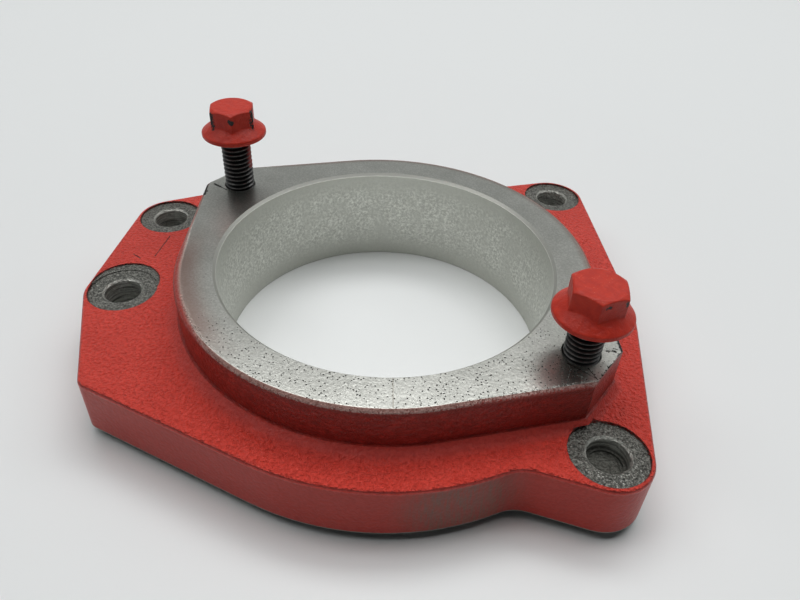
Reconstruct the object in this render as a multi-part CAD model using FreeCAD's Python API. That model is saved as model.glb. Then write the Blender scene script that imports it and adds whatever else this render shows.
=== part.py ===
import FreeCAD, Part
import math
import os

V = FreeCAD.Vector

# Pipe flange: one casting with a through bore and a raised joint face, and two flange
# bolts standing part way out of its tapped holes. Millimetres; Z runs up along the bore,
# X runs through the two bolts, and the underside of the foot ring lies at Z = 0.

# Heights of the casting
foot_height = 2.3
plate_top = 16.0
face_height = 27.9

# Bore and foot ring
bore_radius = 41.275
bore_mouth_chamfer = 0.7
foot_radius = 48.0

# Raised joint face: a ring with two lobes, cut straight across beyond each bolt
ring_radius = 51.0
lobe_end_x = 59.8
lobe_half_width = 6.9
lobe_tip_radius = 1.5
face_edge_round = 1.0
band_height = 2.1
band_ledge = 0.5
band_reach = 4.25
lobe_band_reach = 2.7
# Steps of the band's hollow, each as its share of the reach and of the height
band_hollow = ((0.775, 0.07), (0.54, 0.30))

# Tapped holes and their bolts
bolt_circle_radius = 53.2
thread_radius = 4.0
thread_clearance = 0.05
tap_mouth_chamfer = 0.3

# Flange bolts
bolt_length = 25.0
bolt_tip_chamfer = 0.8
bolt_flange_radius = 8.45
bolt_rim_thickness = 1.5
bolt_cone_angle = 35.0
across_flats = 11.0
head_height = 8.0
crown_radius = 5.2
crown_angle = 30.0
crown_margin = 1.0
neck_overlap = 0.6
rim_edge_break = 0.3
left_bolt_exposed = 15.1
right_bolt_exposed = 10.3
left_hex_turn = 17.0
right_hex_turn = 59.0

# Plate outline: arcs about the bore and lugs about the mounting holes
front_radius = 60.8
side_radius = 64.3
rear_radius = 65.5
lug_radius = 9.6
front_right_hole = (67.4, -10.6)
rear_right_hole = (9.2, 73.7)
rear_left_hole = (-70.3, -13.2)
front_left_hole = (-51.5, -42.5)
front_waist_radius = 8.5
front_waist_angle = -69.6
rear_waist_radius = 20.0
rear_waist_angle = 143.5
left_flat_angle = -124.7
front_flat_angle = -78.4
left_corner_radius = 4.0
draft_inset = 0.1
plate_edge_round = 0.8

# Mounting holes with their spotfaces
hole_radius = 4.5
hole_mouth_chamfer = 0.45
spotface_radius = 8.5
spotface_depth = 0.5
second_spotface = (-53.1, -40.6)
second_spotface_depth = 0.3
blind_hole_depth = 3.85
blind_floor_radius = 3.8
blind_ledge_height = 0.5

# How far each cutting tool runs past the surface it leaves, and joined forms run into each other
overrun = 1.0


def unit(angle_deg):
    angle = math.radians(angle_deg)
    return (math.cos(angle), math.sin(angle))


def corner_of_lines(first_angle, first_distance, second_angle, second_distance):
    # Each line is given by the direction of its outward normal and its distance from the bore axis
    a = unit(first_angle)
    b = unit(second_angle)
    det = a[0] * b[1] - a[1] * b[0]
    x = (first_distance * b[1] - second_distance * a[1]) / det
    y = (a[0] * second_distance - b[0] * first_distance) / det
    return (x, y)


def waist_centre(normal_angle, lug_centre, lug_size, arc_size, waist_size, side):
    # Centre of the hollow that runs from an arc about the bore into a line touching a lug
    n = unit(normal_angle)
    distance = n[0] * lug_centre[0] + n[1] * lug_centre[1] + lug_size + waist_size
    reach = arc_size + waist_size
    along = math.sqrt(reach * reach - distance * distance) * side
    return (n[0] * distance - n[1] * along, n[1] * distance + n[0] * along)


def belt_wire(rounds, z):
    # Closed outline running counterclockwise round circles: each entry is x, y, radius, and
    # a circle of negative radius is passed on its other side, which makes a hollow
    count = len(rounds)
    leaving = []
    arriving = [None] * count
    for i in range(count):
        x0, y0, r0 = rounds[i]
        x1, y1, r1 = rounds[(i + 1) % count]
        reach = math.hypot(x1 - x0, y1 - y0)
        # Circles that touch have no line between them, so rounding must not push the sine past one
        sine = max(-1.0, min(1.0, (r1 - r0) / reach))
        heading = math.atan2(y1 - y0, x1 - x0) - math.asin(sine)
        nx = -math.sin(heading)
        ny = math.cos(heading)
        leaving.append((x0 - r0 * nx, y0 - r0 * ny))
        arriving[(i + 1) % count] = (x1 - r1 * nx, y1 - r1 * ny)
    edges = []
    for i in range(count):
        x0, y0, r0 = rounds[i]
        start = arriving[i]
        end = leaving[i]
        a0 = math.atan2(start[1] - y0, start[0] - x0)
        a1 = math.atan2(end[1] - y0, end[0] - x0)
        turn = (a1 - a0) % (2.0 * math.pi)
        if r0 > 0.0 and turn > math.pi:
            # The belt passes over a circle that doesn't reach it
            return belt_wire(rounds[:i] + rounds[i + 1:], z)
        if r0 < 0.0:
            turn = turn - 2.0 * math.pi
        middle = a0 + turn / 2.0
        size = abs(r0)
        halfway = V(x0 + size * math.cos(middle), y0 + size * math.sin(middle), z)
        edges.append(Part.Arc(V(start[0], start[1], z), halfway, V(end[0], end[1], z)).toShape())
        following = arriving[(i + 1) % count]
        if math.hypot(following[0] - end[0], following[1] - end[1]) > 1e-4:
            edges.append(Part.makeLine(V(end[0], end[1], z), V(following[0], following[1], z)))
    return Part.Wire(edges)


def grown(rounds, amount):
    return [(x, y, r + amount) for x, y, r in rounds]


def tapered_prism(low_rounds, low_z, high_rounds, high_z):
    low = belt_wire(low_rounds, low_z)
    high = belt_wire(high_rounds, high_z)
    return Part.makeLoft([low, high], True, True)


def plate_rounds():
    fr = front_right_hole
    front_waist = waist_centre(front_waist_angle, fr, lug_radius, front_radius, front_waist_radius, 1.0)
    rr = rear_right_hole
    rear_waist = waist_centre(rear_waist_angle, rr, lug_radius, rear_radius, rear_waist_radius, -1.0)
    fl = front_left_hole
    left_normal = unit(left_flat_angle)
    left_distance = left_normal[0] * fl[0] + left_normal[1] * fl[1] + lug_radius
    corner = corner_of_lines(
        left_flat_angle,
        left_distance - left_corner_radius,
        front_flat_angle,
        front_radius - left_corner_radius,
    )
    return [
        (0.0, 0.0, front_radius),
        (front_waist[0], front_waist[1], -front_waist_radius),
        (fr[0], fr[1], lug_radius),
        (0.0, 0.0, side_radius),
        (rr[0], rr[1], lug_radius),
        (rear_waist[0], rear_waist[1], -rear_waist_radius),
        (0.0, 0.0, rear_radius),
        (rear_left_hole[0], rear_left_hole[1], lug_radius),
        (fl[0], fl[1], lug_radius),
        (corner[0], corner[1], left_corner_radius),
    ]


def uncut_ring_rounds():
    # The lobes' flanks touch the ring and run on past the cut ends to a rounded tip
    corner_distance = math.hypot(lobe_end_x, lobe_half_width)
    flank_angle = math.atan2(lobe_half_width, lobe_end_x) + math.acos(ring_radius / corner_distance)
    tip_x = (ring_radius - lobe_tip_radius) / math.cos(flank_angle)
    return [
        (0.0, 0.0, ring_radius),
        (tip_x, 0.0, lobe_tip_radius),
        (0.0, 0.0, ring_radius),
        (-tip_x, 0.0, lobe_tip_radius),
    ]


def ring_rounds(ring_reach, lobe_reach):
    # Outline round the raised face, with its own reach at the corners of the cut ends
    x = lobe_end_x
    y = lobe_half_width
    ring = ring_radius + ring_reach
    return [
        (0.0, 0.0, ring),
        (x, -y, lobe_reach),
        (x, y, lobe_reach),
        (0.0, 0.0, ring),
        (-x, y, lobe_reach),
        (-x, -y, lobe_reach),
    ]


def raised_ring():
    # The face's edge is rounded all along, and the lobes' ends are cut straight and sharp
    rounds = uncut_ring_rounds()
    low_z = plate_top - overrun
    ring = tapered_prism(rounds, low_z, rounds, face_height)
    ring = ring.makeFillet(face_edge_round, edges_on(ring, belt_wire(rounds, face_height)))
    reach = ring_radius + overrun
    between = Part.makeBox(
        2.0 * lobe_end_x, 2.0 * reach, face_height + overrun - low_z, V(-lobe_end_x, -reach, low_z)
    )
    return ring.common(between)


def edges_on(shape, wire):
    # Edges of a shape that lie along an outline
    found = []
    for edge in shape.Edges:
        middle = edge.valueAt((edge.FirstParameter + edge.LastParameter) / 2.0)
        ends = [vertex.Point for vertex in edge.Vertexes]
        if all(wire.distToShape(Part.Vertex(p))[0] < 1e-3 for p in ends + [middle]):
            found.append(edge)
    return found


def sloped_band():
    # Below a small ledge the band slopes down to the plate in a hollow of a few straight slopes.
    # It sinks into the plate, and it ends where the plate's flat top ends.
    foot_rounds = ring_rounds(band_reach, lobe_band_reach)
    band_top = plate_top + band_height
    outlines = [belt_wire(foot_rounds, plate_top - overrun), belt_wire(foot_rounds, plate_top)]
    for reach_share, height_share in band_hollow:
        rounds = ring_rounds(band_reach * reach_share, lobe_band_reach * reach_share)
        outlines.append(belt_wire(rounds, plate_top + band_height * height_share))
    outlines.append(belt_wire(ring_rounds(band_ledge, band_ledge), band_top))
    band = Part.makeLoft(outlines, True, True)
    flat_rounds = grown(plate_rounds(), -draft_inset - plate_edge_round)
    return band.common(tapered_prism(flat_rounds, plate_top - overrun, flat_rounds, band_top))


def round_plug(x, y, radius, low_z, high_z):
    return Part.makeCylinder(radius, high_z - low_z, V(x, y, low_z), V(0.0, 0.0, 1.0))


def mouth_cutter(x, y, radius, chamfer, top_z):
    # Chamfer at a hole's mouth, running out a little above the face
    depth = chamfer + overrun
    return Part.makeCone(radius, radius + depth, depth, V(x, y, top_z - chamfer), V(0.0, 0.0, 1.0))


def mounting_hole(x, y, spot_z, low_z):
    # Drilled hole with a chamfered mouth, below a spotface cut into the rough plate
    return [
        round_plug(x, y, spotface_radius, spot_z, plate_top + overrun),
        round_plug(x, y, hole_radius, low_z, plate_top + overrun),
        mouth_cutter(x, y, hole_radius, hole_mouth_chamfer, spot_z),
    ]


def flange_casting():
    plate_outline = plate_rounds()
    top_outline = grown(plate_outline, -draft_inset)
    plate = tapered_prism(plate_outline, foot_height, top_outline, plate_top)
    plate = plate.makeFillet(plate_edge_round, edges_on(plate, belt_wire(top_outline, plate_top)))
    foot = round_plug(0.0, 0.0, foot_radius, 0.0, foot_height + overrun)
    casting = plate.fuse([foot, sloped_band(), raised_ring()]).removeSplitter()

    through_z = foot_height - overrun
    spot_z = plate_top - spotface_depth
    cutters = [
        round_plug(0.0, 0.0, bore_radius, -overrun, face_height + overrun),
        mouth_cutter(0.0, 0.0, bore_radius, bore_mouth_chamfer, face_height),
    ]
    for x in (-bolt_circle_radius, bolt_circle_radius):
        cutters.append(round_plug(x, 0.0, thread_radius, through_z, face_height + overrun))
        cutters.append(mouth_cutter(x, 0.0, thread_radius, tap_mouth_chamfer, face_height))
    for x, y in (rear_right_hole, rear_left_hole, front_left_hole):
        cutters.extend(mounting_hole(x, y, spot_z, through_z))
    x, y = second_spotface
    cutters.append(
        round_plug(x, y, spotface_radius, plate_top - second_spotface_depth, plate_top + overrun)
    )
    # The front right hole is blind: its drill left a narrower floor below a small ledge
    x, y = front_right_hole
    floor_z = spot_z - blind_hole_depth
    ledge_z = floor_z + blind_ledge_height
    cutters.extend(mounting_hole(x, y, spot_z, ledge_z))
    cutters.append(round_plug(x, y, blind_floor_radius, floor_z, ledge_z + overrun))
    for cutter in cutters:
        casting = casting.cut(cutter)
    return casting


def flange_bolt(x, exposed, hex_turn):
    # Head and shank are one forged piece; its underside seats on the joint face when screwed down
    seat_z = face_height + exposed
    shank_radius = thread_radius - thread_clearance
    corner_radius = across_flats / math.sqrt(3.0)
    cone_drop = math.tan(math.radians(bolt_cone_angle))
    neck_radius = across_flats / 2.0 - neck_overlap
    neck_z = bolt_rim_thickness + (bolt_flange_radius - neck_radius) * cone_drop
    flange_profile = [
        (0.0, 0.0),
        (bolt_flange_radius - rim_edge_break, 0.0),
        (bolt_flange_radius, rim_edge_break),
        (bolt_flange_radius, bolt_rim_thickness - rim_edge_break),
        (bolt_flange_radius - rim_edge_break, bolt_rim_thickness),
        (neck_radius, neck_z),
        (0.0, neck_z),
    ]
    flange = turned(flange_profile)
    points = []
    for k in range(7):
        c, s = unit(hex_turn + 60.0 * k)
        points.append(V(corner_radius * c, corner_radius * s, rim_edge_break))
    hexagon = Part.Face(Part.makePolygon(points)).extrude(V(0.0, 0.0, head_height - rim_edge_break))
    crown_reach = corner_radius + crown_margin
    crown_drop = (crown_reach - crown_radius) * math.tan(math.radians(crown_angle))
    crown_profile = [
        (0.0, 0.0),
        (crown_reach, 0.0),
        (crown_reach, head_height - crown_drop),
        (crown_radius, head_height),
        (0.0, head_height),
    ]
    head = hexagon.common(turned(crown_profile))
    shank_profile = [
        (0.0, rim_edge_break),
        (0.0, -bolt_length),
        (shank_radius - bolt_tip_chamfer, -bolt_length),
        (shank_radius, -bolt_length + bolt_tip_chamfer),
        (shank_radius, rim_edge_break),
    ]
    bolt = flange.fuse([head, turned(shank_profile)]).removeSplitter()
    bolt.translate(V(x, 0.0, seat_z))
    return bolt


def turned(profile):
    # Solid of revolution about Z from a profile of radius and height
    points = [V(r, 0.0, z) for r, z in profile]
    points.append(points[0])
    solid = Part.Face(Part.makePolygon(points)).revolve(V(0.0, 0.0, 0.0), V(0.0, 0.0, 1.0), 360.0)
    if solid.Volume < 0.0:
        solid.reverse()
    return Part.Solid(solid.Shells[0]) if solid.ShapeType != "Solid" else solid


def save(shape, name):
    if shape.ShapeType == "Compound" and len(shape.Solids) == 1:
        shape = shape.Solids[0]
    shape.exportStep("parts/" + name + ".step")


os.makedirs("parts", exist_ok=True)
save(flange_casting(), "flange_casting")
save(flange_bolt(-bolt_circle_radius, left_bolt_exposed, left_hex_turn), "left_bolt")
save(flange_bolt(bolt_circle_radius, right_bolt_exposed, right_hex_turn), "right_bolt")
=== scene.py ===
import bpy
import bmesh
import math
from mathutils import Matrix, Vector


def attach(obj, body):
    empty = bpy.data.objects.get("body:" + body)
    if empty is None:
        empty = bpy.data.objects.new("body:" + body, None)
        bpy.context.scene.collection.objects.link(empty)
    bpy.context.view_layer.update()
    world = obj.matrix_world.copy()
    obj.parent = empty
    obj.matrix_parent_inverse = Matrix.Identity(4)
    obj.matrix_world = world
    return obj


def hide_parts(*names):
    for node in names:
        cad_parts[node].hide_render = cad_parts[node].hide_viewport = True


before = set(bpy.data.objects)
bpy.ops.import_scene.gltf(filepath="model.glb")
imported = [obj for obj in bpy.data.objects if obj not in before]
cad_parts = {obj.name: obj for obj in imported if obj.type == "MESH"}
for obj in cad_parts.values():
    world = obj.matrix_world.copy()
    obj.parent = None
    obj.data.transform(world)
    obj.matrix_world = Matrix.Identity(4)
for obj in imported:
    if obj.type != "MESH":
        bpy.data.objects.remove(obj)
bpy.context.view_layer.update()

# The photographer's camera
# A phone held over the front right of the part, looking down at it across the front right
# lug. Its place and angles were fitted to the three circles of the bore.
camera_data = bpy.data.cameras.new("photo_camera")
camera_data.lens = 30.57
camera_data.sensor_width = 36.0
camera_data.clip_start = 0.01
camera_data.clip_end = 20.0
camera = bpy.data.objects.new("photo_camera", camera_data)
camera.location = (0.084025, -0.108795, 0.125857)
camera.rotation_euler = (math.radians(50.804), math.radians(-2.412), math.radians(37.993))
bpy.context.scene.collection.objects.link(camera)
bpy.context.scene.camera = camera
bpy.context.scene.view_settings.view_transform = "Standard"

# The table
# A plain pale table top with a slight gloss, which runs on past the edges of the picture and
# passes into the pale background far from the part. It isn't part of the object.
BACKGROUND = (0.60, 0.62, 0.62, 1.0)
TABLE_HALF_WIDTH = 3.0
TABLE_DROP = 0.0001
TABLE_FADE_START = 0.45
TABLE_FADE_END = 1.1


class Wiring:
    # Adds linked nodes to one node tree. A value is another node's socket, a number or a tuple.

    def __init__(self, tree):
        self.tree = tree

    def node(self, kind):
        return self.tree.nodes.new(kind)

    def feed(self, socket, value):
        if isinstance(value, bpy.types.NodeSocket):
            self.tree.links.new(value, socket)
        else:
            socket.default_value = value

    def vector(self, operation, first, second=None, scale=None):
        made = self.node("ShaderNodeVectorMath")
        made.operation = operation
        self.feed(made.inputs[0], first)
        if second is not None:
            self.feed(made.inputs[1], second)
        if scale is not None:
            self.feed(made.inputs["Scale"], scale)
        gives_number = operation in ("DISTANCE", "LENGTH", "DOT_PRODUCT")
        return made.outputs["Value" if gives_number else "Vector"]

    def parts(self, vector):
        made = self.node("ShaderNodeSeparateXYZ")
        self.feed(made.inputs[0], vector)
        return made.outputs[0], made.outputs[1], made.outputs[2]

    def sum_up(self, operation, first, second=0.0, third=0.0):
        made = self.node("ShaderNodeMath")
        made.operation = operation
        self.feed(made.inputs[0], first)
        self.feed(made.inputs[1], second)
        self.feed(made.inputs[2], third)
        return made.outputs[0]

    def fade(self, value, low, high, out_low=0.0, out_high=1.0, smooth=True):
        # Passes from out_low to out_high as the value passes from low to high
        made = self.node("ShaderNodeMapRange")
        made.interpolation_type = "SMOOTHSTEP" if smooth else "LINEAR"
        self.feed(made.inputs["Value"], value)
        self.feed(made.inputs["From Min"], low)
        self.feed(made.inputs["From Max"], high)
        self.feed(made.inputs["To Min"], out_low)
        self.feed(made.inputs["To Max"], out_high)
        return made.outputs["Result"]

    def both(self, *masks):
        result = masks[0]
        for mask in masks[1:]:
            result = self.sum_up("MULTIPLY", result, mask)
        return result

    def either(self, *masks):
        result = masks[0]
        for mask in masks[1:]:
            result = self.sum_up("MAXIMUM", result, mask)
        return result

    def mix(self, mask, first, second):
        # The Mix node keeps its plain numbers in sockets 2 and 3
        made = self.node("ShaderNodeMix")
        made.data_type = "FLOAT"
        self.feed(made.inputs[0], mask)
        self.feed(made.inputs[2], first)
        self.feed(made.inputs[3], second)
        return made.outputs[0]

    def seen_share(self):
        # One for what is seen straight or mirrored, nothing for light that falls on the part
        path = self.node("ShaderNodeLightPath")
        return self.either(
            path.outputs["Is Camera Ray"],
            path.outputs["Is Glossy Ray"],
            path.outputs["Is Transmission Ray"],
        )


floor_mesh = bpy.data.meshes.new("table_top")
floor_form = bmesh.new()
bmesh.ops.create_grid(floor_form, x_segments=1, y_segments=1, size=TABLE_HALF_WIDTH)
floor_form.to_mesh(floor_mesh)
floor_form.free()
floor = bpy.data.objects.new("table_top", floor_mesh)
floor.location.z = -TABLE_DROP
bpy.context.scene.collection.objects.link(floor)
floor_paint = bpy.data.materials.new("pale_table")
floor_paint.use_nodes = True
wiring = Wiring(floor_paint.node_tree)
floor_shader = wiring.tree.nodes["Principled BSDF"]
floor_shader.inputs["Base Color"].default_value = (0.78, 0.80, 0.80, 1.0)
floor_shader.inputs["Roughness"].default_value = 0.45
floor_shader.inputs["Specular IOR Level"].default_value = 0.3
place = wiring.node("ShaderNodeTexCoord").outputs["Object"]
far = wiring.fade(wiring.vector("LENGTH", place), TABLE_FADE_START, TABLE_FADE_END)
far_tone = wiring.node("ShaderNodeEmission")
far_tone.inputs["Color"].default_value = BACKGROUND
joined = wiring.node("ShaderNodeMixShader")
wiring.feed(joined.inputs[0], wiring.both(far, wiring.seen_share()))
wiring.feed(joined.inputs[1], floor_shader.outputs["BSDF"])
wiring.feed(joined.inputs[2], far_tone.outputs["Emission"])
wiring.feed(wiring.tree.nodes["Material Output"].inputs["Surface"], joined.outputs[0])
floor_mesh.materials.append(floor_paint)

# The light
# Large soft panels stand round the part in a dark room: the main one high beyond it, so that
# the sides towards the camera are darker than the tops, and weaker ones above it, at its left
# and at its right. The pale background low down, and the paler wall behind the camera, show
# only where they are seen straight or mirrored, and light nothing.
CAMERA_TURN = math.radians(37.68)
ROOM_STRENGTH = 0.05
CEILING_TONE = 0.06
WALL_BEHIND_CAMERA_TONE = 0.8
BACKGROUND_TOP = 0.36
CEILING_START = 0.6
PANEL_DISTANCE = 1.5

world = bpy.data.worlds.new("room")
world.use_nodes = True
wiring = Wiring(world.node_tree)
room = wiring.tree.nodes["Background"]
room.inputs["Color"].default_value = BACKGROUND
direction = wiring.node("ShaderNodeTexCoord").outputs["Generated"]
upward = wiring.parts(direction)[2]
toward_camera = (math.sin(CAMERA_TURN), -math.cos(CAMERA_TURN), 0.0)
behind_camera = wiring.vector("DOT_PRODUCT", direction, toward_camera)
high_tone = wiring.fade(behind_camera, -0.1, 0.5, CEILING_TONE, WALL_BEHIND_CAMERA_TONE)
shown_tone = wiring.fade(upward, BACKGROUND_TOP, CEILING_START, 1.0, high_tone)
wiring.feed(room.inputs["Strength"], wiring.mix(wiring.seen_share(), ROOM_STRENGTH, shown_tone))
bpy.context.scene.world = world


def panel(name, bearing, height, wide, tall, watts):
    # Bearing and height are in degrees as seen from the part; bearing 0 is straight beyond it
    side = math.radians(bearing) + CAMERA_TURN
    up = math.radians(height)
    light = bpy.data.lights.new(name, "AREA")
    light.shape = "RECTANGLE"
    light.size = wide
    light.size_y = tall
    light.energy = watts
    toward = Vector((-math.sin(side) * math.cos(up), math.cos(side) * math.cos(up), math.sin(up)))
    stand = bpy.data.objects.new(name, light)
    stand.location = toward * PANEL_DISTANCE
    stand.rotation_euler = toward.to_track_quat("Z", "Y").to_euler()
    bpy.context.scene.collection.objects.link(stand)


panel("panel_beyond", bearing=0.0, height=63.0, wide=1.2, tall=0.44, watts=8.0)
panel("panel_above", bearing=0.0, height=85.0, wide=1.2, tall=0.52, watts=6.8)
panel("panel_left", bearing=85.0, height=55.0, wide=0.8, tall=0.8, watts=4.8)
panel("panel_right", bearing=-60.0, height=51.0, wide=0.8, tall=0.8, watts=4.9)

# The casting
# One piece of grey cast iron: plate, raised joint face, sloped band and foot ring. It is
# sprayed with red enamel over the rough sand-cast skin and then machined bare on the joint
# face, in the bore, and in the spotfaces and holes. Places and sizes are in millimetres.
MM = 0.001
BORE_RADIUS = 41.275
RING_RADIUS = 51.0
LOBE_END_X = 59.8
FLANK_ANGLE = math.radians(38.67)
FACE_HEIGHT = 27.9
PLATE_TOP = 16.0
PLATE_BOTTOM = 2.3
WALL_FOOT = 18.0
HOLE_RADIUS = 4.5
TAP_RADIUS = 4.0
SPOTFACE_RADIUS = 8.5
BOLT_X = 53.2
FRONT_RIGHT_HOLE = (67.4, -10.6, 0.0)
REAR_RIGHT_HOLE = (9.2, 73.7, 0.0)
REAR_LEFT_HOLE = (-70.3, -13.2, 0.0)
FRONT_LEFT_HOLE = (-51.5, -42.5, 0.0)
SECOND_SPOTFACE = (-53.1, -40.6, 0.0)
BLIND_HOLE_FLOOR = (67.4, -10.6, 11.65)
TOWARD_FRONT = (0.61, -0.79, 0.0)
MERGE_GAP = 0.002 * MM


def paint(red, green, blue):
    # A colour given as it shows on a screen, 0 to 255
    linear = []
    for level in (red, green, blue):
        share = level / 255.0
        linear.append(share / 12.92 if share < 0.04045 else ((share + 0.055) / 1.055) ** 2.4)
    return (linear[0], linear[1], linear[2], 1.0)


class Finish(Wiring):
    # A material whose colour, roughness and relief are worked out from the place on the piece

    def __init__(self, name):
        self.material = bpy.data.materials.new(name)
        self.material.use_nodes = True
        super().__init__(self.material.node_tree)
        self.shader = self.tree.nodes["Principled BSDF"]
        object_place = self.node("ShaderNodeTexCoord").outputs["Object"]
        self.place = self.vector("SCALE", object_place, scale=1.0 / MM)
        self.x, self.y, self.z = self.parts(self.place)
        self.flat = self.vector("MULTIPLY", self.place, (1.0, 1.0, 0.0))

    def unless(self, mask):
        return self.sum_up("SUBTRACT", 1.0, mask)

    def weaker(self, mask, share):
        return self.fade(mask, 0.0, 1.0, 0.0, share)

    def grain(self, size, detail=2.0, rough=0.5, stretch=(1.0, 1.0, 1.0), shift=(0.0, 0.0, 0.0)):
        # Cloudy noise about 0.5, whose features are about size millimetres across
        place = self.vector("ADD", self.vector("MULTIPLY", self.place, stretch), shift)
        made = self.node("ShaderNodeTexNoise")
        self.feed(made.inputs["Vector"], place)
        made.inputs["Scale"].default_value = 1.0 / size
        made.inputs["Detail"].default_value = detail
        made.inputs["Roughness"].default_value = rough
        return made.outputs["Fac"]

    def cells(self, size, shift=(0.0, 0.0, 0.0)):
        # Distance from the nearest of many scattered points, in shares of their spacing, and a
        # colour picked for each point
        made = self.node("ShaderNodeTexVoronoi")
        self.feed(made.inputs["Vector"], self.vector("ADD", self.place, shift))
        made.inputs["Scale"].default_value = 1.0 / size
        return made.outputs["Distance"], made.outputs["Color"]

    def blend(self, mask, first, second):
        # The Mix node keeps its colours in sockets 6 and 7 and their result in 2
        made = self.node("ShaderNodeMix")
        made.data_type = "RGBA"
        self.feed(made.inputs[0], mask)
        self.feed(made.inputs[6], first)
        self.feed(made.inputs[7], second)
        return made.outputs[2]

    def relief(self, height, depth):
        made = self.node("ShaderNodeBump")
        made.inputs["Strength"].default_value = 1.0
        made.inputs["Distance"].default_value = depth * MM
        self.feed(made.inputs["Height"], height)
        return made.outputs["Normal"]

    def stroke(self, start, end, width, ragged_width=0.0, soft=0.1):
        # A scratch, line or chip from start to end
        run = tuple(b - a for a, b in zip(start, end))
        length_squared = sum(step * step for step in run)
        offset = self.vector("SUBTRACT", self.place, start)
        share = self.sum_up("DIVIDE", self.vector("DOT_PRODUCT", offset, run), length_squared)
        share = self.sum_up("MINIMUM", self.sum_up("MAXIMUM", share, 0.0), 1.0)
        gap = self.vector("DISTANCE", offset, self.vector("SCALE", run, scale=share))
        if ragged_width:
            wander = self.sum_up("SUBTRACT", self.grain(0.6, 3.0, 0.6), 0.5)
            gap = self.sum_up("MULTIPLY_ADD", wander, ragged_width, gap)
        return self.fade(gap, width * 0.5 + soft, width * 0.5 - soft)

    def near(self, point, inner, outer):
        # One within the inner distance of a point, falling to nothing at the outer
        return self.fade(self.vector("DISTANCE", self.place, point), outer, inner)


cast = Finish("painted_casting_skin")

# How far outside the raised face's outline a point lies, seen from above. The outline is a ring
# about the bore, with straight flanks that touch it and lobes cut straight across.
folded = cast.vector("ABSOLUTE", cast.flat)
flank_cos = math.cos(FLANK_ANGLE)
flank_sin = math.sin(FLANK_ANGLE)
to_flank = cast.vector("DOT_PRODUCT", folded, (flank_cos, flank_sin, 0.0))
along_flank = cast.vector("DOT_PRODUCT", folded, (-flank_sin, flank_cos, 0.0))
along_flank = cast.sum_up("MAXIMUM", along_flank, 0.0)
along_squared = cast.sum_up("MULTIPLY", along_flank, along_flank)
to_ring = cast.sum_up("SQRT", cast.sum_up("MULTIPLY_ADD", to_flank, to_flank, along_squared))
to_ring = cast.sum_up("SUBTRACT", to_ring, RING_RADIUS)
to_end = cast.sum_up("SUBTRACT", cast.sum_up("ABSOLUTE", cast.x), LOBE_END_X)
past_outline = cast.sum_up("MAXIMUM", to_ring, to_end)

# Fine and coarse patterns of the cast and sprayed surface
coarse = cast.grain(0.8, 1.5, 0.5)
fine = cast.grain(0.28, 2.0, 0.5, shift=(31.0, 7.0, 0.0))
patchy = cast.grain(9.0, 3.0, 0.6, shift=(5.0, 90.0, 3.0))
ragged = cast.sum_up("SUBTRACT", cast.grain(0.45, 3.0, 0.6, shift=(0.0, 40.0, 9.0)), 0.5)

# The bore and the chamfer at its mouth
from_axis = cast.vector("LENGTH", cast.flat)
in_bore = cast.fade(from_axis, BORE_RADIUS + 0.1, BORE_RADIUS + 0.05)
outside_bore = cast.fade(from_axis, BORE_RADIUS + 0.05, BORE_RADIUS + 0.1)
on_mouth = cast.both(
    cast.fade(from_axis, BORE_RADIUS + 0.78, BORE_RADIUS + 0.68),
    cast.fade(from_axis, BORE_RADIUS + 0.02, BORE_RADIUS + 0.08),
    cast.fade(cast.z, FACE_HEIGHT - 0.9, FACE_HEIGHT - 0.8),
)

# The bare joint face. The paint's ragged edge lies further in at the left front than elsewhere.
edge_shift = cast.mix(cast.near((-31.0, -40.0, FACE_HEIGHT), 6.0, 34.0), -0.1, -1.35)
edge_shift = cast.mix(cast.near((10.0, -50.0, FACE_HEIGHT), 8.0, 26.0), edge_shift, 0.0)
edge_shift = cast.mix(cast.near((52.0, -16.0, FACE_HEIGHT), 8.0, 20.0), edge_shift, -0.5)
past_edge = cast.sum_up("SUBTRACT", to_ring, edge_shift)
past_edge = cast.sum_up("MULTIPLY_ADD", ragged, 1.3, past_edge)
ragged_height = cast.sum_up("MULTIPLY_ADD", ragged, 0.8, cast.z)
on_joint_face = cast.both(
    cast.fade(past_edge, 0.6, -0.5),
    cast.fade(to_end, 0.02, -0.04),
    cast.fade(ragged_height, FACE_HEIGHT - 0.8, FACE_HEIGHT - 0.7),
    outside_bore,
)

# The underside, the holes and their spotfaces, and the two tapped holes
underneath = cast.both(cast.fade(cast.z, PLATE_BOTTOM + 0.3, PLATE_BOTTOM + 0.1), outside_bore)
nearest_hole = cast.vector("DISTANCE", cast.flat, FRONT_RIGHT_HOLE)
for centre in (REAR_RIGHT_HOLE, REAR_LEFT_HOLE, FRONT_LEFT_HOLE):
    nearest_hole = cast.sum_up("MINIMUM", nearest_hole, cast.vector("DISTANCE", cast.flat, centre))
second_gap = cast.vector("DISTANCE", cast.flat, SECOND_SPOTFACE)
nearest_spot = cast.sum_up("MINIMUM", nearest_hole, second_gap)
spot_height = cast.both(
    cast.fade(cast.z, PLATE_TOP + 0.3, PLATE_TOP + 0.2),
    cast.fade(cast.z, PLATE_TOP - 1.3, PLATE_TOP - 1.2),
)
ragged_spot = cast.sum_up("MULTIPLY_ADD", ragged, 0.5, nearest_spot)
on_spot = cast.both(
    cast.fade(ragged_spot, SPOTFACE_RADIUS + 0.1, SPOTFACE_RADIUS - 0.1),
    spot_height,
)
in_hole = cast.both(
    cast.fade(nearest_hole, HOLE_RADIUS + 0.04, HOLE_RADIUS),
    cast.fade(cast.z, PLATE_BOTTOM + 0.2, PLATE_BOTTOM + 0.3),
)
on_hole_mouth = cast.both(
    cast.fade(nearest_hole, HOLE_RADIUS, HOLE_RADIUS + 0.04),
    cast.fade(nearest_hole, HOLE_RADIUS + 0.55, HOLE_RADIUS + 0.35),
    spot_height,
)
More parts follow.
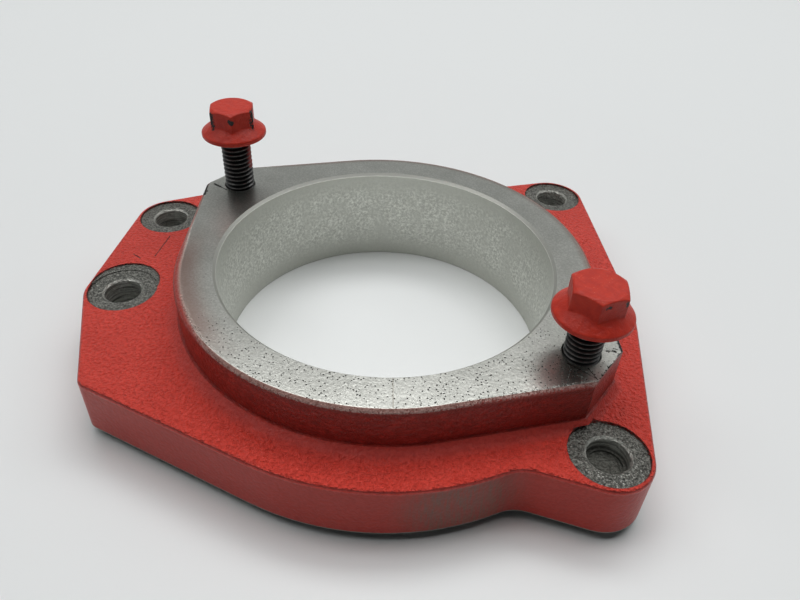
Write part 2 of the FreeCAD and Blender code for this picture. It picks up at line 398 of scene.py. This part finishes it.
rim_wander = cast.sum_up("MULTIPLY_ADD", ragged, 1.2, nearest_spot)
spot_rim = cast.both(
    cast.fade(rim_wander, SPOTFACE_RADIUS - 0.35, SPOTFACE_RADIUS - 0.1),
    cast.fade(rim_wander, SPOTFACE_RADIUS + 0.15, SPOTFACE_RADIUS - 0.05),
    spot_height,
    cast.fade(cast.grain(5.0, 1.0, 0.5, shift=(0.0, 22.0, 0.0)), 0.42, 0.58),
)
tap_gap = cast.vector("DISTANCE", folded, (BOLT_X, 0.0, 0.0))
in_tap = cast.fade(tap_gap, TAP_RADIUS + 0.15, TAP_RADIUS + 0.05)

# The enamel: lighter on the grain's crests and darker in its pits as painted light and shade, with
# painted shade on the sides, the wall, the band and the face's rim, and rubbed through beside the
# front right lug
# The grain's crests are painted lighter, a painted highlight on the bumps
enamel = cast.blend(cast.fade(coarse, 0.34, 0.66), paint(212, 64, 51), paint(230, 76, 63))
enamel = cast.blend(cast.fade(patchy, 0.35, 0.7, 0.0, 0.2), enamel, paint(184, 42, 31))
# The grain's fine pits are painted darker, painted shade in the bumps
enamel = cast.blend(cast.fade(fine, 0.40, 0.24, 0.0, 0.3), enamel, paint(140, 34, 22))
on_sides = cast.both(
    cast.fade(past_outline, 3.0, 4.5),
    cast.fade(cast.z, PLATE_TOP - 0.4, PLATE_TOP - 1.2),
)
# Painted shade: the sides are painted darker than the top, as they lie in shade
enamel = cast.blend(cast.weaker(on_sides, 0.6), enamel, paint(146, 26, 12))
# Painted shade on the band, deepest beside the raised wall's foot
painted_band_shade = cast.both(
    cast.fade(past_outline, 4.6, 1.0, 0.0, 0.5),
    cast.fade(cast.z, PLATE_TOP - 0.1, PLATE_TOP + 0.1),
)
enamel = cast.blend(painted_band_shade, enamel, paint(146, 30, 20))
# Painted shade on the raised face's wall, laid on in streaks
wall_in_painted_shade = cast.both(
    cast.fade(past_outline, 0.62, 0.42),
    cast.fade(cast.z, FACE_HEIGHT - 0.7, FACE_HEIGHT - 1.3),
    cast.fade(cast.z, WALL_FOOT - 0.1, WALL_FOOT + 0.1),
)
wall_shade_streaks = cast.fade(cast.grain(2.2, 3.0, 0.6, stretch=(1.0, 1.0, 2.5)), 0.25, 0.65, 0.35, 0.8)
enamel = cast.blend(cast.both(wall_in_painted_shade, wall_shade_streaks), enamel, paint(118, 28, 20))
scuff_streaks = cast.fade(cast.grain(0.5, 3.0, 0.6, stretch=(1.0, 1.0, 0.14)), 0.3, 0.7, 0.4, 1.0)
scuff = cast.both(cast.near((47.5, -34.5, 9.0), 6.0, 17.0), on_sides, scuff_streaks)
enamel = cast.blend(scuff, enamel, paint(124, 82, 70))
# Painted shade on the enamel at the face's rim, which damps the highlight its round catches
painted_rim_shade = cast.both(
    cast.fade(to_ring, 0.5, 0.1),
    cast.fade(cast.z, FACE_HEIGHT - 2.4, FACE_HEIGHT - 0.6),
)
enamel = cast.blend(cast.weaker(painted_rim_shade, 0.65), enamel, paint(112, 40, 32))

# The cut iron of the joint face, with a haze of paint along its left front and its rear rim
iron = cast.blend(cast.fade(patchy, 0.3, 0.7), paint(186, 187, 181), paint(200, 201, 195))
speckle = cast.fade(cast.grain(0.5, 2.0, 0.7, shift=(2.0, 60.0, 8.0)), 0.34, 0.7)
iron = cast.blend(speckle, cast.blend(0.35, iron, paint(120, 120, 114)), iron)
left_haze = cast.both(
    cast.near((-26.0, -40.0, FACE_HEIGHT), 10.0, 30.0),
    cast.fade(past_edge, -7.0, -1.0, 0.0, 0.7),
)
rear_haze = cast.both(cast.fade(cast.y, 8.0, 20.0), cast.fade(to_ring, -2.6, -1.0, 0.0, 0.5))
iron = cast.blend(cast.either(left_haze, rear_haze), iron, paint(150, 118, 108))

# Pores in the cut iron, thickest at the front, where the cut went through the casting's skin
pore_gap, pore_pick = cast.cells(0.62, shift=(3.0, 8.0, 2.0))
pore_share = cast.parts(pore_pick)[0]
clusters = cast.fade(cast.grain(6.0, 2.0, 0.5, shift=(70.0, 2.0, 5.0)), 0.3, 0.7, 0.22, -0.12)
frontward = cast.vector("DOT_PRODUCT", cast.flat, TOWARD_FRONT)
pore_limit = cast.fade(frontward, 5.0, 38.0, 0.93, 0.15, smooth=False)
pore_limit = cast.sum_up("ADD", pore_limit, clusters)
pore_size = cast.fade(
    cast.sum_up("SUBTRACT", pore_share, pore_limit), 0.0, 0.6, 0.08, 0.29, smooth=False
)
pore_gap = cast.sum_up("MULTIPLY_ADD", ragged, 0.25, pore_gap)
pores = cast.both(
    cast.fade(cast.sum_up("SUBTRACT", pore_gap, pore_size), 0.03, -0.05),
    cast.fade(pore_share, pore_limit, cast.sum_up("ADD", pore_limit, 0.01)),
)
edge_pores = cast.both(
    cast.fade(past_edge, -1.1, 0.1),
    cast.fade(cast.grain(0.55, 2.0, 0.6, shift=(9.0, 1.0, 70.0)), 0.50, 0.62),
    cast.fade(frontward, 8.0, 34.0),
)
pores = cast.either(pores, edge_pores)

# The bore's mottled wall, and the spotfaces' darker, coarser iron
bore_mottle = cast.grain(0.7, 4.0, 0.7, shift=(60.0, 0.0, 11.0))
bore_cloud = cast.grain(6.0, 3.0, 0.6, stretch=(1.0, 1.0, 0.7), shift=(0.0, 50.0, 4.0))
bore_cloud = cast.both(
    cast.fade(bore_cloud, 0.2, 0.62),
    cast.fade(cast.z, 2.0, 9.0),
    cast.fade(cast.z, 26.5, 20.0),
)
bore_plain = cast.blend(bore_mottle, paint(186, 187, 180), paint(208, 209, 202))
bore_spots = cast.fade(bore_mottle, 0.34, 0.72)
bore_spotted = cast.blend(bore_spots, paint(180, 181, 174), paint(234, 235, 228))
bore_iron = cast.blend(bore_cloud, bore_plain, bore_spotted)
spot_grain = cast.grain(0.42, 3.0, 0.7, shift=(15.0, 4.0, 2.0))
spot_iron = cast.blend(cast.fade(spot_grain, 0.36, 0.66), paint(62, 62, 59), paint(128, 128, 122))
# Painted glints: bright flecks on the front right spotface
painted_glints = cast.both(cast.near((71.0, -15.0, 15.5), 3.0, 9.0), cast.fade(spot_grain, 0.60, 0.66))
spot_iron = cast.blend(painted_glints, spot_iron, paint(190, 190, 184))
drill_marks = cast.fade(cast.grain(0.9, 3.0, 0.6, stretch=(0.12, 0.12, 2.2)), 0.36, 0.62)
hole_iron = cast.blend(drill_marks, paint(120, 120, 115), paint(190, 190, 184))
at_floor = cast.near(BLIND_HOLE_FLOOR, HOLE_RADIUS, HOLE_RADIUS + 0.2)
hole_iron = cast.blend(at_floor, hole_iron, paint(92, 92, 87))

# All colours, each laid over the ones before it
colour = cast.blend(on_joint_face, enamel, cast.blend(pores, iron, paint(60, 58, 54)))
colour = cast.blend(in_bore, colour, bore_iron)
colour = cast.blend(on_mouth, colour, paint(164, 164, 158))
colour = cast.blend(underneath, colour, paint(150, 150, 146))
colour = cast.blend(on_spot, colour, spot_iron)
colour = cast.blend(cast.weaker(spot_rim, 0.5), colour, paint(52, 42, 38))
colour = cast.blend(on_hole_mouth, colour, paint(158, 158, 152))
colour = cast.blend(in_hole, colour, hole_iron)
colour = cast.blend(in_tap, colour, paint(46, 46, 46))

# The round at the joint face's rim keeps a stain of paint, and is painted darker as painted shade
# that damps its highlight
stained_and_shaded_round = cast.both(on_joint_face, cast.fade(to_ring, -1.0, -0.7))
colour = cast.blend(cast.weaker(stained_and_shaded_round, 0.8), colour, paint(136, 92, 84))

# Marks: scribe lines by the bolts, chips to the black primer, and scratches in the plate's paint
top = FACE_HEIGHT
lines = cast.either(
    # Beside the left bolt
    cast.stroke((-58.2, -5.0, top), (-53.2, -4.9, top), 0.3, 0.3),
    cast.stroke((-58.3, -5.0, top), (-56.0, -4.95, top), 0.7, 0.6),
    # Beside the right bolt and along the end of its lobe
    cast.stroke((56.4, -3.5, top), (59.5, -5.35, top), 0.22, 0.3),
    cast.stroke((57.2, 4.0, top), (58.6, 4.9, top), 0.6, 1.6),
    cast.stroke((58.0, 5.6, top), (58.9, 5.8, top), 0.3, 0.8),
    cast.stroke((59.8, -6.0, top - 0.1), (59.9, 5.0, top - 0.1), 0.3, 2.6),
    cast.stroke((52.4, -5.0, top), (59.2, -5.2, top), 0.16, 0.5),
)
# Across the face at the front
faint_line = cast.stroke((27.4, -31.9, top), (32.7, -38.5, top), 0.12)
# At the left lobe's front corner, and at the right lobe's rear corner and front edge
chips = cast.either(
    cast.stroke((-59.6, -7.2, top - 0.1), (-56.5, -10.5, top - 0.1), 1.8, 1.8),
    cast.stroke((57.8, 8.9, top), (60.0, 5.9, top - 0.3), 1.1, 1.4),
    cast.stroke((59.9, -6.9, 24.0), (60.2, -6.6, 18.8), 0.5, 1.1),
)
# On the plate between the two left holes
scratches = cast.either(
    cast.stroke((-62.1, -19.8, PLATE_TOP), (-57.2, -28.4, PLATE_TOP), 0.28, 0.45),
    cast.stroke((-62.2, -31.6, PLATE_TOP), (-59.4, -31.6, PLATE_TOP), 0.3, 0.5),
)
colour = cast.blend(faint_line, colour, paint(128, 120, 108))
colour = cast.blend(lines, colour, paint(44, 43, 41))
colour = cast.blend(chips, colour, paint(34, 32, 31))
colour = cast.blend(scratches, colour, paint(74, 22, 18))

# Where the iron is bare, and how rough each place is
bare = cast.either(on_joint_face, in_bore, on_mouth, underneath, on_spot, in_hole, in_tap)
bare = cast.both(bare, cast.unless(chips))
face_rough = cast.mix(cast.either(pores, stained_and_shaded_round), 0.32, 0.8)
rough = cast.mix(on_joint_face, 0.36, face_rough)
rough = cast.mix(in_bore, rough, 0.55)
rough = cast.mix(on_mouth, rough, 0.5)
rough = cast.mix(on_spot, rough, 0.45)
rough = cast.mix(in_hole, rough, 0.55)
rough = cast.mix(underneath, rough, 0.5)

# The plate's top keeps the sand's grain under the paint, and the band and sides are smoother
grit = cast.fade(cast.grain(1.0, 3.0, 0.65, shift=(12.0, 0.0, 50.0)), 0.34, 0.66)
on_plate = cast.both(
    cast.fade(past_outline, 0.6, 5.0),
    cast.fade(cast.z, PLATE_TOP - 0.5, PLATE_TOP - 0.1),
    cast.unless(on_spot),
)
skin_depth = cast.mix(on_plate, cast.mix(on_sides, 0.22, 0.08), 1.0)
skin_depth = cast.mix(bare, skin_depth, 0.02)
skin_depth = cast.mix(cast.either(on_spot, in_hole), skin_depth, 0.45)
skin_depth = cast.mix(in_bore, skin_depth, 0.06)
skin_height = cast.sum_up("MULTIPLY_ADD", grit, 0.2, coarse)
skin_height = cast.sum_up("MULTIPLY_ADD", fine, 0.45, skin_height)
skin_height = cast.sum_up("MULTIPLY", skin_height, skin_depth)
skin_height = cast.sum_up("MULTIPLY_ADD", cast.both(pores, on_joint_face), -0.12, skin_height)

cast.feed(cast.shader.inputs["Base Color"], colour)
cast.feed(cast.shader.inputs["Metallic"], bare)
cast.feed(cast.shader.inputs["Roughness"], rough)
cast.shader.inputs["Specular IOR Level"].default_value = 0.3
cast.feed(cast.shader.inputs["Normal"], cast.relief(skin_height, 1.1))


def smooth_copy(node_name, piece_name, crease_degrees):
    # A merged copy of a solid's mesh, smooth over its rounds and sharp at its corners
    form = bmesh.new()
    form.from_mesh(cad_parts[node_name].data)
    bmesh.ops.remove_doubles(form, verts=form.verts, dist=MERGE_GAP)
    for face in form.faces:
        face.smooth = True
    for edge in form.edges:
        edge.smooth = edge.calc_face_angle(0.0) < math.radians(crease_degrees)
    mesh = bpy.data.meshes.new(piece_name)
    form.to_mesh(mesh)
    form.free()
    if "custom_normal" in mesh.attributes:
        mesh.attributes.remove(mesh.attributes["custom_normal"])
    piece = bpy.data.objects.new(piece_name, mesh)
    bpy.context.scene.collection.objects.link(piece)
    return piece


casting = smooth_copy("flange_casting", "casting_body", 24.0)
casting.data.materials.append(cast.material)
even_shading = casting.modifiers.new("even_shading", "WEIGHTED_NORMAL")
even_shading.keep_sharp = True
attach(casting, "casting")
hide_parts("flange_casting")

# The two flange bolts
# Forged steel M8 hexagon bolts with a flange under the head. Head and flange are sprayed red,
# the thread is black and oily, and each stands part way out of its tapped hole.
PITCH = 1.25 * MM
CREST_RADIUS = 3.95 * MM
ROOT_RADIUS = 3.20 * MM
CREST_START = 0.42 * MM
CREST_END = 0.58 * MM
ROOT_START = 1.00 * MM
BOLT_LENGTH = 25.0 * MM
TIP_CHAMFER = 0.8 * MM
THREAD_OVERLAP = 0.1 * MM
HEAD_CUT = 0.01 * MM
HEAD_GRID = 0.14 * MM
CREASE_DEGREES = 30.0
LEFT_SEAT_Z = 43.0 * MM
RIGHT_SEAT_Z = 38.2 * MM
STEPS_PER_TURN = 40
SAME_PLACE = 0.001 * MM
ON_PLANE = 0.0001 * MM

coat = Finish("painted_bolt_head")
coat_coarse = coat.grain(1.6, 3.0, 0.5)
coat_fine = coat.grain(0.45, 3.0, 0.6, shift=(8.0, 30.0, 2.0))
coat_red = coat.blend(coat.fade(coat_coarse, 0.3, 0.7), paint(176, 42, 27), paint(190, 49, 30))
# Painted highlight flecks on the top of the right bolt's head
painted_highlight_flecks = coat.both(
    coat.fade(coat_fine, 0.64, 0.70),
    coat.fade(coat_coarse, 0.45, 0.6),
    coat.near((BOLT_X, 0.0, 46.2), 5.0, 6.0),
)
coat_red = coat.blend(painted_highlight_flecks, coat_red, paint(222, 122, 96))


def corner(x, turn_degrees, z, reach=6.3):
    # A place on a bolt's head, by its direction from the bolt's axis
    turn = math.radians(turn_degrees)
    return (x + reach * math.cos(turn), reach * math.sin(turn), z)


# Chips on the corners of the hexagons, four on the left head and two on the right
head_chips = coat.either(
    coat.stroke(corner(-BOLT_X, -101.0, 50.0), corner(-BOLT_X, -97.0, 46.6), 1.1, 3.2),
    coat.stroke(corner(-BOLT_X, 16.0, 50.4), corner(-BOLT_X, 11.0, 46.4), 1.0, 3.0),
    coat.stroke(corner(-BOLT_X, 30.0, 50.7, 5.7), corner(-BOLT_X, 17.0, 50.6), 0.5, 1.0),
    coat.stroke(corner(-BOLT_X, -47.0, 49.1), corner(-BOLT_X, -42.0, 48.9), 1.3, 0.8),
    coat.stroke(corner(BOLT_X, -50.0, 44.8, 6.0), corner(BOLT_X, -43.0, 44.8, 5.75), 0.7, 1.0),
    coat.stroke(corner(BOLT_X, -6.0, 45.0, 6.2), corner(BOLT_X, -4.0, 44.2, 6.2), 0.7, 1.0),
)
coat.feed(coat.shader.inputs["Base Color"], coat.blend(head_chips, coat_red, paint(36, 35, 34)))
coat.shader.inputs["Roughness"].default_value = 0.44
coat.shader.inputs["Specular IOR Level"].default_value = 0.25
coat_height = coat.sum_up("MULTIPLY_ADD", coat_fine, 0.4, coat_coarse)
coat_height = coat.sum_up("MULTIPLY_ADD", head_chips, -0.5, coat_height)
coat.feed(coat.shader.inputs["Normal"], coat.relief(coat_height, 0.22))

# The oily black thread, painted lighter in patches along its crests as worn metal and painted
# highlight, with red overspray on the left one
thread = Finish("black_thread")
thread_axis = (BOLT_X, 0.0, 0.0)
from_thread_axis = thread.vector("DISTANCE", thread.vector("ABSOLUTE", thread.flat), thread_axis)
wear_and_sheen_patches = thread.fade(thread.grain(1.2, 3.0, 0.6), 0.35, 0.7)
crest = thread.both(
    thread.fade(from_thread_axis, 3.6, 3.9),
    thread.fade(wear_and_sheen_patches, 0.0, 1.0, 0.5, 1.0),
)
steel = thread.blend(crest, paint(24, 24, 25), paint(104, 104, 103))
overspray = thread.stroke((-49.9, 2.4, 43.5), (-50.1, 2.4, 35.0), 2.6, 1.6, 0.9)
steel = thread.blend(overspray, steel, paint(150, 40, 30))
thread.feed(thread.shader.inputs["Base Color"], steel)
thread.feed(thread.shader.inputs["Metallic"], thread.mix(overspray, 0.7, 0.0))
thread.shader.inputs["Roughness"].default_value = 0.4


def cut_off(form, x, height, up):
    # What lies past a level plane is taken away and the opening is closed flat
    cut = bmesh.ops.bisect_plane(
        form,
        geom=form.verts[:] + form.edges[:] + form.faces[:],
        dist=ON_PLANE,
        plane_co=(x, 0.0, height),
        plane_no=(0.0, 0.0, up),
        clear_outer=True,
    )
    rim = [edge for edge in cut["geom_cut"] if isinstance(edge, bmesh.types.BMEdge)]
    bmesh.ops.holes_fill(form, edges=rim, sides=0)


def thread_form(x, seat_z):
    # One pitch of the thread's outline is spun up the shank, then cut off at both ends
    turns = int(BOLT_LENGTH / PITCH) + 3
    start_z = seat_z - BOLT_LENGTH - PITCH
    outline = [
        (ROOT_RADIUS, 0.0),
        (CREST_RADIUS, CREST_START),
        (CREST_RADIUS, CREST_END),
        (ROOT_RADIUS, ROOT_START),
        (ROOT_RADIUS, PITCH),
    ]
    form = bmesh.new()
    points = [form.verts.new((x + radius, 0.0, start_z + z)) for radius, z in outline]
    edges = [form.edges.new(pair) for pair in zip(points, points[1:])]
    bmesh.ops.spin(
        form,
        geom=points + edges,
        cent=(x, 0.0, 0.0),
        axis=(0.0, 0.0, 1.0),
        dvec=(0.0, 0.0, PITCH / STEPS_PER_TURN),
        angle=2.0 * math.pi * turns,
        steps=STEPS_PER_TURN * turns,
        use_merge=False,
        use_duplicate=False,
    )
    bmesh.ops.remove_doubles(form, verts=form.verts, dist=SAME_PLACE)
    tip_z = seat_z - BOLT_LENGTH
    cut_off(form, x, tip_z, -1.0)
    cut_off(form, x, seat_z + THREAD_OVERLAP, 1.0)
    for vert in form.verts:
        limit = CREST_RADIUS - TIP_CHAMFER + max(0.0, vert.co.z - tip_z)
        radius = math.hypot(vert.co.x - x, vert.co.y)
        if radius > limit:
            vert.co.x = x + (vert.co.x - x) * limit / radius
            vert.co.y = vert.co.y * limit / radius
    bmesh.ops.recalc_face_normals(form, faces=form.faces)
    return form


def head_mesh(node_name, x, seat_z):
    # The head is cut from a copy of the bolt's solid, and its edges are softened as thick paint
    # softens them
    head = smooth_copy(node_name, node_name + "_head", CREASE_DEGREES)
    form = bmesh.new()
    form.from_mesh(head.data)
    cut_off(form, x, seat_z + HEAD_CUT, -1.0)
    form.to_mesh(head.data)
    form.free()
    remesh = head.modifiers.new("forged_form", "REMESH")
    remesh.mode = "VOXEL"
    remesh.voxel_size = HEAD_GRID
    soften = head.modifiers.new("paint_rounds", "SMOOTH")
    soften.factor = 0.5
    soften.iterations = 5
    bpy.context.view_layer.update()
    shaped = head.evaluated_get(bpy.context.evaluated_depsgraph_get())
    mesh = bpy.data.meshes.new_from_object(shaped)
    bpy.data.objects.remove(head)
    return mesh


def bolt(node_name, x, seat_z):
    # Head and thread become one piece, each with its own material
    form = thread_form(x, seat_z)
    for face in form.faces:
        face.material_index = 1
        face.smooth = True
    for edge in form.edges:
        edge.smooth = edge.calc_face_angle(0.0) < math.radians(CREASE_DEGREES)
    thread_mesh = bpy.data.meshes.new(node_name + "_thread")
    form.to_mesh(thread_mesh)
    form.free()
    form = bmesh.new()
    form.from_mesh(head_mesh(node_name, x, seat_z))
    for face in form.faces:
        face.material_index = 0
        face.smooth = True
    form.from_mesh(thread_mesh)
    mesh = bpy.data.meshes.new(node_name + "_piece")
    form.to_mesh(mesh)
    form.free()
    piece = bpy.data.objects.new(node_name + "_piece", mesh)
    bpy.context.scene.collection.objects.link(piece)
    mesh.materials.append(coat.material)
    mesh.materials.append(thread.material)
    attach(piece, node_name)
    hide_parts(node_name)


bolt("left_bolt", -BOLT_X * MM, LEFT_SEAT_Z)
bolt("right_bolt", BOLT_X * MM, RIGHT_SEAT_Z)
